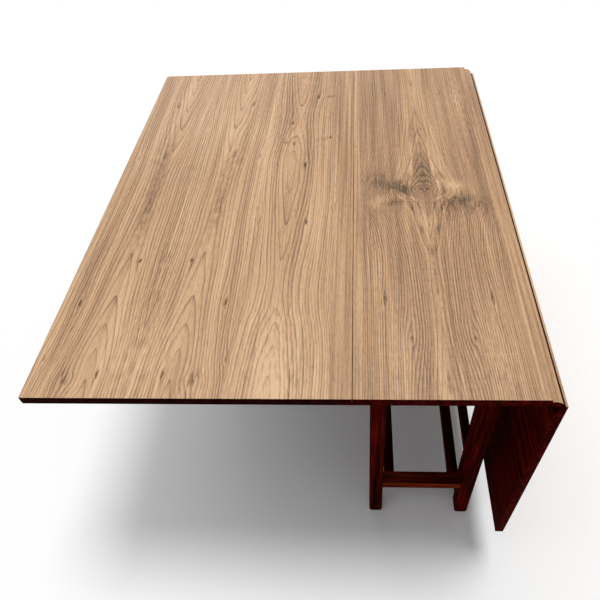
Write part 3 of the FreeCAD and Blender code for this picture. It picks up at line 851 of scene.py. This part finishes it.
@dataclass
class CentreBoard(TopBoard):
    """Fixed board between the leaves, with an ovolo on both long edges.

    The steep foot of each ovolo, where the share of its normal across the table is above a set
    share, takes the stain as painted shade.
    """

    ovolo: float = 0.0185
    hinge_places: tuple[float, ...] = (-0.31625, 0.0, 0.31625)
    hinge_room: float = 0.047
    hinge_gain: float = 0.0012
    gain_reach: float = 0.019
    gain_ease: float = 0.0006
    seam_room: float = 0.0001
    # Share of the normal across the table beyond which an ovolo takes the stain as painted shade.
    painted_shade_from: float = 0.78

    def build(self, walnut: Material, stain: Material) -> Object:
        """Model and dress the board.

        Args:
            walnut: finish of the show faces.
            stain: finish of the ends and underside, also laid on the steep foot of the ovolos as
                painted shade.

        Returns:
            The finished board.
        """
        board = self.start(-self.seam, self.seam)
        step = self.pin_z + math.sqrt(self.ovolo ** 2 - (self.pin_x - self.seam) ** 2)
        self.bisect(Vector((0, 0, step)), Vector((0, 0, 1)))
        self.open_faces(lambda m, n: abs(n.y) > ALONG or (abs(n.x) > ALONG and m.z < step))
        start = math.acos((self.seam - self.pin_x) / self.ovolo)
        end = math.asin((self.under - self.pin_z) / self.ovolo)
        reach = self.pin_x + self.ovolo * math.cos(end)
        for side in (1, -1):
            self.sweep(side * self.seam, step, side * self.pin_x, side * (start - end))
            pick(Pick.EDGES, lambda m, d: abs(d.y) > ALONG and close_to(m.z, self.under) and (
                close_to(m.x, side * reach) or close_to(m.x, side * self.seam)))
            bpy.ops.mesh.edge_face_add()
        self.close_ends()
        bpy.ops.object.mode_set(mode="OBJECT")
        self.ease(board)
        self.recess(board)
        self.dress(board, walnut, stain, self.stained_or_shaded)
        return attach(board, self.body)

    def stained_or_shaded(self, middle: Vector, normal: Vector) -> bool:
        """Tell whether a face takes the stain: an end, the underside, a seam, or the steep foot of
        an ovolo, which is painted shade.

        Args:
            middle: middle of the face.
            normal: its normal.

        Returns:
            Whether it is stained.
        """
        at_end = abs(middle.y) > self.length / 2 - self.arris
        return (
            abs(normal.y) > MOSTLY
            or (normal.z < -MOSTLY and middle.z < self.under + 2 * self.hinge_gain)
            or (abs(normal.x) > TURNED and abs(middle.x) < self.seam + self.seam_room)
            # Beyond the seam the ends are stained, and the steep foot of the ovolo is painted
            # shade.
            or (abs(middle.x) > self.seam and (at_end or abs(normal.x) > self.painted_shade_from))
        )

    def recess(self, board: Object) -> None:
        """Sink the places under the ovolos where the hinge straps fold up.

        Args:
            board: the board, in object mode.
        """
        cutters = []
        size = (self.gain_reach + self.gain_ease, self.hinge_room, 2 * self.hinge_gain)
        middle = self.pin_x + (self.gain_reach - self.gain_ease) / 2
        for side in (1, -1):
            for place in self.hinge_places:
                select()
                bpy.ops.mesh.primitive_cube_add(
                    size=1.0, location=(side * middle, place, self.under), scale=size
                )
                cutters.append(bpy.context.object)
        select(*cutters)
        bpy.ops.object.join()
        tool = bpy.context.object
        cut = board.modifiers.new("hinge_gains", "BOOLEAN")
        cut.operation = "DIFFERENCE"
        cut.object = tool
        select(board)
        bpy.ops.object.modifier_apply(modifier=cut.name)
        bpy.data.objects.remove(tool)


@dataclass
class Leaf(TopBoard):
    """Hinged leaf with a cove that runs round the ovolo, modelled raised on the right.

    The stain fields say how far the stain comes round the foot of the lip, the outer edge, the
    cove and the underside.
    """

    hang: Hang = Hang.RAISED
    lip: float = 0.1668
    outer: float = 0.751
    cove: float = 0.019
    edge_round: float = 0.0015
    round_steps: int = 5
    lip_stain: float = 0.0018
    edge_stain: float = 0.0009
    cove_stain: float = 0.0005
    under_stain: float = 0.001

    @property
    def low(self) -> float:
        """Height of the foot of the lip."""
        return self.pin_z + math.sqrt(self.cove ** 2 - (self.pin_x - self.lip) ** 2)

    @property
    def inner(self) -> float:
        """Where the cove meets the underside, across the table."""
        return self.pin_x + math.sqrt(self.cove ** 2 - (self.under - self.pin_z) ** 2)

    def build(self, walnut: Material, stain: Material) -> Object:
        """Model and dress the leaf, and bring it to where it stands at rest.

        Args:
            walnut: finish of the show faces.
            stain: finish of the ends, outer edge and underside; on the left leaf a darker copy of
                it, which paints shade.

        Returns:
            The finished leaf.
        """
        leaf = self.start(self.lip, self.outer)
        for height in (self.low, self.low + self.lip_stain):
            self.bisect(Vector((0, 0, height)), Vector((0, 0, 1)))
        self.bisect(Vector((self.inner, 0, 0)), Vector((1, 0, 0)))
        self.open_faces(
            lambda m, n: abs(n.y) > ALONG or (n.x < -ALONG and m.z < self.low)
            or (n.z < -ALONG and m.x < self.inner)
        )
        start = math.acos((self.lip - self.pin_x) / self.cove)
        end = math.asin((self.under - self.pin_z) / self.cove)
        self.sweep(self.lip, self.low, self.pin_x, start - end)
        self.close_ends()
        pick(Pick.EDGES, lambda m, d: abs(d.y) > ALONG and close_to(m.x, self.outer) and (
            close_to(m.z, self.top) or close_to(m.z, self.under)))
        bpy.ops.mesh.bevel(offset=self.edge_round, segments=self.round_steps, affect="EDGES")
        bpy.ops.object.mode_set(mode="OBJECT")
        self.ease(leaf)
        self.dress(leaf, walnut, stain, self.stained_or_shaded)
        self.settle(leaf)
        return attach(leaf, self.body)

    def stained_or_shaded(self, middle: Vector, normal: Vector) -> bool:
        """Tell whether a face is an end, the underside, the outer edge or the cove.

        Args:
            middle: middle of the face.
            normal: its normal.

        Returns:
            Whether it is stained.
        """
        return (
            abs(normal.y) > MOSTLY
            or (normal.z < -MOSTLY and middle.z < self.under + self.under_stain)
            or middle.x > self.outer - self.edge_stain
            or (middle.x < self.inner + self.cove_stain and middle.z < self.low + self.lip_stain)
        )

    def settle(self, leaf: Object) -> None:
        """Turn the leaf from its raised right-hand place to where it stands at rest.

        Args:
            leaf: the leaf, in object mode.
        """
        leaf.matrix_world = self.rest_turn()
        select(leaf)
        bpy.ops.object.transform_apply(location=True, rotation=True, scale=True)

    def rest_turn(self) -> Matrix:
        """Work out the turn to where the leaf stands at rest.

        Returns:
            The matrix from the raised right-hand place.
        """
        if self.hang is Hang.RAISED:
            return Matrix.Rotation(math.pi, 4, "Z")
        pin = Vector((self.pin_x, 0.0, self.pin_z))
        fall = Matrix.Rotation(math.radians(self.hang.value), 4, "Y")
        return Matrix.Translation(pin) @ fall @ Matrix.Translation(-pin)


@dataclass
class Top:
    """The three boards of the top and the veneer that was laid on them, in millimetres.

    The leaves take the same two sheets and the centre board one sheet, opened about its middle
    and marked differently on its two sides. The tones are those of the lippings.
    """

    stain: Material
    # Darker copy of the stain for the left leaf, which paints shade.
    painted_shade_stain: Material
    leaf_seam: float = -393.0
    leaf_lippings: Pair = (-800.0, -207.0)
    centre_seam: float = 0.0
    centre_lippings: Pair = (-149.0, 149.0)
    centre_tone: float = 0.34
    left_tone: float = 0.38
    right_tone: float = 0.26
    leaf_sheets: tuple[Sheet, ...] = (
        Sheet(
            match=-565, heart=80, seed=3.0,
            depth=(
                (-575, 5), (-555, 10), (-500, 17), (-440, 25), (-380, 32), (-300, 38), (-100, 45),
                (100, 44), (200, 40), (300, 33), (420, 24), (575, 8),
            ),
            knots=(
                Knot(56, -240), Knot(148, -356), Knot(60, -527, 7), Knot(118, -540, 14, 0.2, 1.0),
                Knot(170, -497, 6, 0.5), Knot(110, 395, 8, 0.4), Knot(92, 155, 6, 0.4, 5.0),
                Knot(160, 138, 6, 0.4, 6.0),
            ),
            marks=(
                Mark((80, -420), (84, 280), 34, 0.3), Mark((128, -900), (132, 900), 22, -0.08),
                Mark((10, -1100), (8, 500), 40, -0.15), Mark((118, -560), (122, -500), 22, 0.2),
                Mark((30, -700), (30, -250), 60, -0.16), Mark((105, 420), (105, -220), 75, 0.13),
            ),
        ),
        Sheet(
            match=-393, heart=77, seed=11.0, opened=False,
            depth=(
                (-575, 6), (-540, 11), (-425, 26), (-330, 38), (-200, 33), (-85, 26), (90, 18),
                (200, 26), (300, 34), (395, 26), (575, 8),
            ),
            knots=(
                Knot(60, 290, 10, 0.8), Knot(71, 187, 10, 0.8), Knot(106, 95), Knot(125, 425),
                Knot(165, 213, 9, 0.8, 1.8), Knot(122, -125), Knot(15, -110, 6, 0.5, 7.0),
                Knot(95, -82, 8, 0.3),
            ),
            marks=(
                Mark((2, -900), (2, 900), 9, -0.16), Mark((183, -900), (183, 900), 6, -0.2),
                Mark((20, 190), (74, 197), 11, 0.3), Mark((118, 424), (192, 424), 11, 0.3),
                Mark((112, 194), (172, 214), 14, 0.26), Mark((40, 275), (70, 300), 18, 0.2),
                # Painted light: the next two marks lighten the near half of the sheet as a painted
                # sheen and darken its far half as painted shade.
                Mark((95, -900), (95, -150), 150, -0.24), Mark((90, -100), (90, 900), 150, 0.13),
                Mark((23, 700), (23, -120), 24, 0.16),
            ),
        ),
    )
    centre_sheet: Sheet = Sheet(
        match=0, heart=0, seed=23.0, ring=6.2, narrowing=1.24, tone=0.32, ripple=0.14,
        depth=(
            (-575, 4), (-510, 9), (-420, 14), (-200, 18), (0, 18), (250, 16), (400, 12), (575, 5),
        ),
        fork=(
            (-575, 0), (-240, 0), (-190, 10), (-120, 24), (-60, 34), (-30, 50), (-14, 58), (0, 50),
            (35, 41), (95, 33), (185, 21), (245, 14), (300, 9), (575, 3),
        ),
        wing=(
            (-575, 0), (-110, 0), (-70, 4), (-40, 14), (-15, 31), (0, 42), (20, 44), (45, 39),
            (80, 31), (120, 23), (170, 14), (230, 7), (300, 2), (380, 0), (575, 0),
        ),
        knots=(
            Knot(57, -445, 8, 0.55), Knot(102, -350, 8, 0.45), Knot(0, -330, 6, 0.5, 4.0),
            Knot(75, 425, 8, 0.4), Knot(10, 240, 6, 0.5, 3.0),
        ),
        marks=(
            Mark((14, 215), (24, 85), 5, -0.5), Mark((22, 120), (30, 10), 5, -0.55),
            Mark((28, 42), (39, -28), 5, -0.55), Mark((39, -8), (17, -84), 5, -0.4),
            Mark((43, 14), (43, -44), 6, 0.5), Mark((44, -25), (22, -128), 6, 0.5),
            Mark((26, -100), (4, -228), 7, 0.45), Mark((8, -190), (0, -252), 8, 0.45),
            Mark((0, -235), (0, -345), 5, 0.45), Mark((30, -32), (4, -112), 5, 0.4),
            Mark((8, -60), (2, -205), 14, -0.2), Mark((0, 150), (0, -85), 30, 0.4),
            Mark((0, -600), (0, -505), 4, 0.4), Mark((80, -260), (80, -700), 80, -0.11),
        ),
    )
    left_marks: tuple[Mark, ...] = (
        Mark((4, -6), (136, 2), 36, 0.46), Mark((30, 8), (190, 50), 70, 0.24),
        Mark((84, -20), (138, -96), 30, -0.35), Mark((30, -46), (112, -72), 16, 0.4),
        Mark((50, 90), (50, -120), 44, 0.44), Mark((128, 120), (128, -330), 30, 0.16),
    )
    right_marks: tuple[Mark, ...] = (
        Mark((10, -30), (136, -78), 36, 0.46), Mark((40, -44), (190, -96), 70, 0.24),
        Mark((36, 12), (118, -10), 34, -0.35), Mark((28, 66), (62, 14), 12, 0.3),
        Mark((44, 0), (48, -150), 50, 0.36), Mark((130, 700), (120, 60), 66, -0.22),
        Mark((28, -50), (28, -230), 22, 0.16), Mark((110, -230), (110, -700), 50, -0.08),
    )

    def build(self) -> list[Object]:
        """Model and dress the boards.

        Returns:
            The boards.
        """
        halves = tuple(
            replace(self.centre_sheet, marks=self.centre_sheet.marks + more)
            for more in (self.left_marks, self.right_marks)
        )
        centre_walnut = WalnutTop(
            "satin_walnut_veneer_centre", halves, (self.centre_seam,), self.centre_lippings,
            self.centre_tone,
        ).build()
        left_walnut = self.leaf_walnut("left", self.left_tone, Matrix())
        centre = CentreBoard("dressed_centre_board", "table_frame")
        left = Leaf("dressed_left_leaf", "left_leaf")
        right = Leaf("dressed_right_leaf", "right_leaf", hang=Hang.HANGING)
        back = Matrix.Rotation(math.pi, 4, "Z") @ right.rest_turn().inverted()
        right_walnut = self.leaf_walnut("right", self.right_tone, back)
        return [
            centre.build(centre_walnut, self.stain),
            # The left leaf's ends, outer edge and underside take the darker copy, painted shade.
            left.build(left_walnut, self.painted_shade_stain),
            right.build(right_walnut, self.stain),
        ]

    def leaf_walnut(self, side: str, tone: float, turn: Matrix) -> Material:
        """Make the walnut of a leaf.

        Args:
            side: side of the table that the leaf is on.
            tone: tone of its lipping.
            turn: what brings the leaf onto the raised left one.

        Returns:
            The finished material.
        """
        return WalnutTop(
            "satin_walnut_veneer_" + side, self.leaf_sheets, (self.leaf_seam,),
            self.leaf_lippings, tone, turn,
        ).build()


@dataclass
class Base:
    """Legs, rails, stretchers, gates, blocks and irons, in the shape that the frame has them."""

    stains: dict[Grain, Material]
    warm_stain: Material
    beech: Material
    hinge_steel: Material
    screw_steel: Material

    def finish_of(self, node: str) -> Material:
        """Choose the finish of a piece from what it is and the way it runs.

        Args:
            node: name of the piece in the frame.

        Returns:
            Its material.
        """
        if node.endswith("screws"):
            return self.screw_steel
        if "hinge" in node and not node.endswith("post"):
            return self.hinge_steel
        if node.endswith("buttons"):
            return self.beech
        if node.endswith("end_stretcher"):
            return self.warm_stain
        low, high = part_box(node)
        size = high - low
        return self.stains[list(Grain)[max(range(3), key=lambda axis: size[axis])]]

    def dress(self, nodes: dict[str, Object]) -> int:
        """Give every piece of the frame that shows its finish.

        Args:
            nodes: pieces of the frame by name.

        Returns:
            How many were dressed.
        """
        dressed = 0
        for name, piece in nodes.items():
            if piece.hide_render:
                continue
            finish = self.finish_of(name)
            for slot in piece.material_slots:
                slot.material = finish
            dressed += 1
            LOG.info("dressed %s with %s", name, finish.name)
        return dressed


@dataclass(frozen=True)
class Softbox:
    """Light above the table: its level, and in degrees its width and how it leans about X and Y."""

    name: str
    level: float
    width: float
    lean: Pair

    def hang(self) -> None:
        """Add the light to the scene."""
        lamp = bpy.data.lights.new(self.name, "SUN")
        lamp.energy, lamp.angle = self.level, math.radians(self.width)
        holder = bpy.data.objects.new(self.name, lamp)
        holder.rotation_euler = (*(math.radians(angle) for angle in self.lean), 0.0)
        bpy.context.scene.collection.objects.link(holder)


@dataclass
class Studio:
    """White floor, soft light from overhead, and the camera. Angles are in radians.

    ambient is the level of the light from all round, and glow what the floor adds to the view.
    """

    sensor: float = 36.0
    lens: float = 34.04
    shift: Pair = (-0.04365, -0.03895)
    eye: Triple = (-0.14729, -1.07771, 1.59722)
    yaw: float = -0.0926785
    pitch: float = 0.8157979
    roll: float = 0.0762544
    ambient: float = 0.22
    glow: float = 0.04
    paper: str = "#fdfdfd"
    white: str = "#ffffff"
    floor_size: float = 40.0
    floor_drop: float = 0.0004
    softboxes: tuple[Softbox, ...] = (
        Softbox("right_softbox", 1.58, 19.0, (-4.3, 10.0)),
        Softbox("left_softbox", 0.86, 52.0, (-4.3, -17.0)),
        Softbox("far_softbox", 0.17, 20.0, (-60.0, -42.0)),
    )

    def build(self) -> None:
        """Make the floor, the light and the camera."""
        self.floor()
        self.light()
        self.camera()

    def floor(self) -> None:
        """Lay a white floor that keeps the shadow."""
        select()
        place = (0.0, 0.0, -self.floor_drop)
        bpy.ops.mesh.primitive_plane_add(size=self.floor_size, location=place)
        floor = bpy.context.object
        floor.name = "floor"
        material, tree = new_material("white_paper")
        shader = add(tree, "BsdfPrincipled", {
            "Base Color": linear(self.paper), "Roughness": 1.0, "Specular IOR Level": 0.0,
            "Emission Color": linear(self.white),
            "Emission Strength": calc(tree, "MULTIPLY", seen_rays(tree), self.glow),
        })
        add(tree, "OutputMaterial", {0: shader})
        floor.data.materials.append(material)

    def light(self) -> None:
        """Light the table from above, with even light from all round."""
        for softbox in self.softboxes:
            softbox.hang()
        world = bpy.data.worlds.new("white_room")
        world.use_nodes = True
        tree = world.node_tree
        tree.nodes.clear()
        level = spread(tree, seen_rays(tree), (0.0, 1.0), (self.ambient, 1.0))
        sky = add(tree, "Background", {"Color": linear(self.white), "Strength": level})
        add(tree, "OutputWorld", {"Surface": sky})
        bpy.context.scene.world = world

    def camera(self) -> None:
        """Stand the camera where the photograph was taken from."""
        ahead = Vector((
            math.sin(self.yaw) * math.cos(self.pitch),
            math.cos(self.yaw) * math.cos(self.pitch),
            -math.sin(self.pitch),
        ))
        right = Vector((math.cos(self.yaw), -math.sin(self.yaw), 0.0))
        down = ahead.cross(right)
        across = right * math.cos(self.roll) + down * math.sin(self.roll)
        fall = down * math.cos(self.roll) - right * math.sin(self.roll)
        data = bpy.data.cameras.new("camera")
        data.lens = self.lens
        data.sensor_width = self.sensor
        data.shift_x, data.shift_y = self.shift
        camera = bpy.data.objects.new("camera", data)
        turn = Matrix((across, -fall, -ahead)).transposed().to_4x4()
        camera.matrix_world = Matrix.Translation(self.eye) @ turn
        bpy.context.scene.collection.objects.link(camera)
        bpy.context.scene.camera = camera


def main() -> None:
    """Build the boards, dress the frame and set up the studio."""
    logging.basicConfig(level=logging.INFO, format="%(name)s: %(message)s")
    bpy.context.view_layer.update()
    bpy.context.scene.view_settings.view_transform = "Standard"
    stains = {grain: MahoganyStain(grain).build() for grain in Grain}
    # Darker copy of the stain for the left leaf, which paints shade.
    painted_shade_stain = MahoganyStain(Grain.ALONG_Y, Coat.DEEP).build()
    for board in Top(stains[Grain.ALONG_Y], painted_shade_stain).build():
        LOG.info("modelled %s with %d faces", board.name, len(board.data.polygons))
    base = Base(
        stains, MahoganyStain(Grain.ALONG_X, Coat.WARM).build(), BareBeech().build(),
        PlatedSteel("zinc_plated_hinge_steel", "#c9ccd0", "#9fa3a8", 0.38).build(),
        PlatedSteel("turned_screw_steel", "#b5b7ba", "#83868a", 0.42).build(),
    )
    LOG.info("dressed %d pieces of the frame", base.dress(frame["nodes"]))
    Studio().build()


if __name__ == "__main__":
    main()
